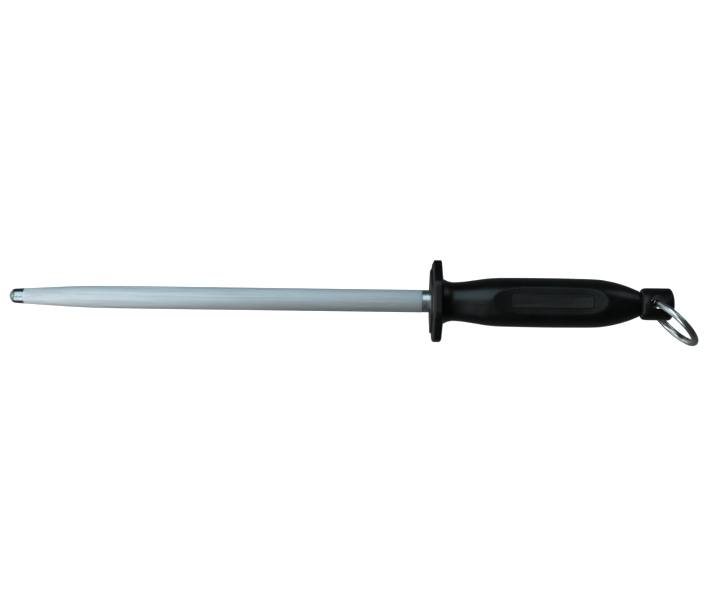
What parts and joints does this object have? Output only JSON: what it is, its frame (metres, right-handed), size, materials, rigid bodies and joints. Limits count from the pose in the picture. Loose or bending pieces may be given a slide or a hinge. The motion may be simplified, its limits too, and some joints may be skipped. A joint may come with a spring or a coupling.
{
  "type": "knife sharpening steel",
  "caption": "Round sharpening steel with a tapered rod, eight-sided hand guard, moulded grip with side flats, and a swivel eye that carries a hanging ring.",
  "frame": {"origin": "on the rod's axis, in the plane of the guard's front face", "axes": "+X runs from the rod's nose along the grip to the ring, +Z is square to the flat that holds the upper label plate, and four of the guard's eight sides are square to Y and Z"},
  "size_m": [0.409, 0.0487, 0.048],
  "materials": {
    "rod_steel": "satin with fine lengthwise cut, polished at the nose and at the guard",
    "guard_plastic": "satin moulded",
    "grip_plastic": "fine moulded grain",
    "plate_plastic": "satin moulded",
    "pin_steel": "turned",
    "washer_plastic": "plain black nylon",
    "eye_plastic": "satin moulded",
    "ring_steel": "plated"
  },
  "bodies": {
    "handle": {"steel_rod": "rod_steel", "hand_guard": "guard_plastic", "grip": "grip_plastic", "label_plate_upper": "plate_plastic", "label_plate_lower": "plate_plastic"},
    "eye": {"swivel_eye": "eye_plastic", "swivel_pin": "pin_steel", "pin_washer": "pin_steel", "thrust_washer": "washer_plastic"},
    "ring": {"hanging_ring": "ring_steel"}
  },
  "joints": [
    {"name": "eye_swivel", "type": "hinge", "parent": "handle", "child": "eye", "pos_m": [0.1245, 0, 0], "axis": [1, 0, 0], "continuous": true},
    {"name": "ring_swing", "type": "hinge", "parent": "eye", "child": "ring", "pos_m": [0.1348, 0, 0], "axis": [0, 0.1219, 0.9925], "range_deg": [-103, 191]}
  ]
}
